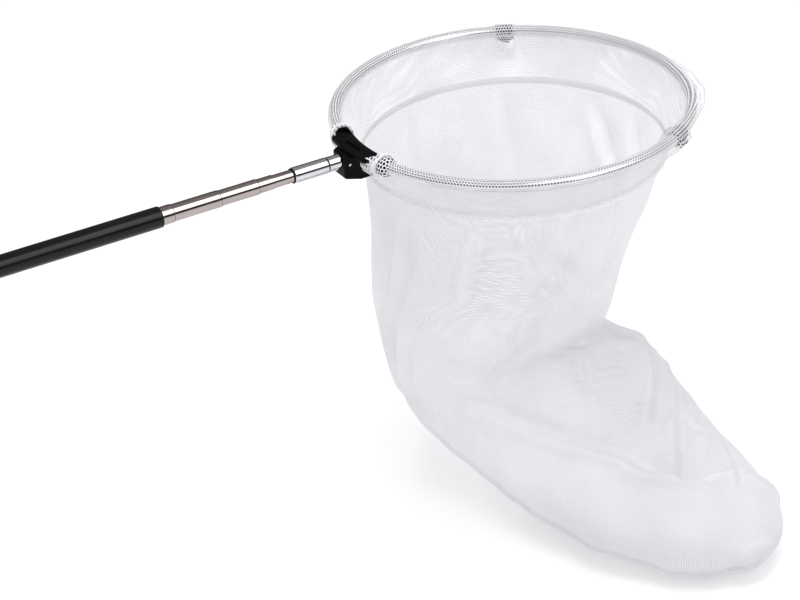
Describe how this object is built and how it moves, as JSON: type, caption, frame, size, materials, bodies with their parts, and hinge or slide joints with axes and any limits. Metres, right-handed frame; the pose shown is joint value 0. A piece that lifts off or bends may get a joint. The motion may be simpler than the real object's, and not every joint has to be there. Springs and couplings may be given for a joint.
{
  "type": "telescopic hand net with folding hoop",
  "caption": "Hand net with a deep fine-mesh bag on a folding round hoop, a black hub and a telescopic tube handle with a smooth grip.",
  "frame": {"origin": "centre of the grip, on the pole's axis", "axes": "+X along the pole towards the net, +Z out of the hoop's mouth, -Z the way the bag hangs, +Y to the user's left"},
  "size_m": [0.8243, 0.4613, 0.3994],
  "materials": {
    "grip": "smooth satin black moulded grip",
    "steel": "polished stainless steel tube",
    "nylon": "natural nylon bush",
    "black_plastic": "fine-textured black moulded nylon",
    "chrome": "bright chrome plate",
    "zinc": "zinc-plated steel",
    "aluminium": "polished aluminium tube",
    "mesh": "fine white knitted polyester mesh, about 2 mm cells"
  },
  "bodies": {
    "handle": {"grip_sleeve": "grip", "butt_cap": "grip", "tube_1": "steel"},
    "stage_2": {"tube_2": "steel", "tail_bush_2": "nylon"},
    "stage_3": {"tube_3": "steel", "tail_bush_3": "nylon"},
    "stage_4": {"tube_4": "steel", "tail_bush_4": "nylon"},
    "head": {"tube_5": "steel", "tail_bush_5": "nylon", "collar_ring": "black_plastic", "tip_collar": "chrome", "lock_washer": "black_plastic", "head_ferrule": "chrome", "threaded_stud": "zinc", "stud_nut": "zinc", "ferrule_pin": "zinc", "hub_body": "black_plastic", "hub_cover": "black_plastic", "cover_screws": "zinc", "socket_rivets": "zinc", "hoop_arc_left": "aluminium", "hoop_arc_right": "aluminium", "knuckle_left_rear": "black_plastic", "knuckle_right_rear": "black_plastic", "hinge_pin_left": "zinc", "hinge_pin_right": "zinc", "net_sleeve_left": "mesh", "net_sleeve_right": "mesh", "net_band": "mesh", "net_bag": "mesh"},
    "hoop_front": {"hoop_arc_front": "aluminium", "knuckle_left_front": "black_plastic", "knuckle_right_front": "black_plastic", "net_sleeve_front": "mesh"}
  },
  "joints": [
    {"name": "extend_stage_2", "type": "slide", "parent": "handle", "child": "stage_2", "axis": [1, 0, 0], "range_m": [-0.039, 0.213]},
    {"name": "extend_stage_3", "type": "slide", "parent": "stage_2", "child": "stage_3", "axis": [1, 0, 0], "range_m": [-0.031, 0.213]},
    {"name": "extend_stage_4", "type": "slide", "parent": "stage_3", "child": "stage_4", "axis": [1, 0, 0], "range_m": [-0.0096, 0.2262]},
    {"name": "extend_stage_5", "type": "slide", "parent": "stage_4", "child": "head", "axis": [1, 0, 0], "range_m": [-0.018, 0.202]},
    {"name": "fold_front", "type": "hinge", "parent": "head", "child": "hoop_front", "pos_m": [0.5835, 0, -0.0034], "axis": [0, 1, 0], "range_deg": [0, 172], "deforming": ["net_band", "net_bag"]}
  ]
}
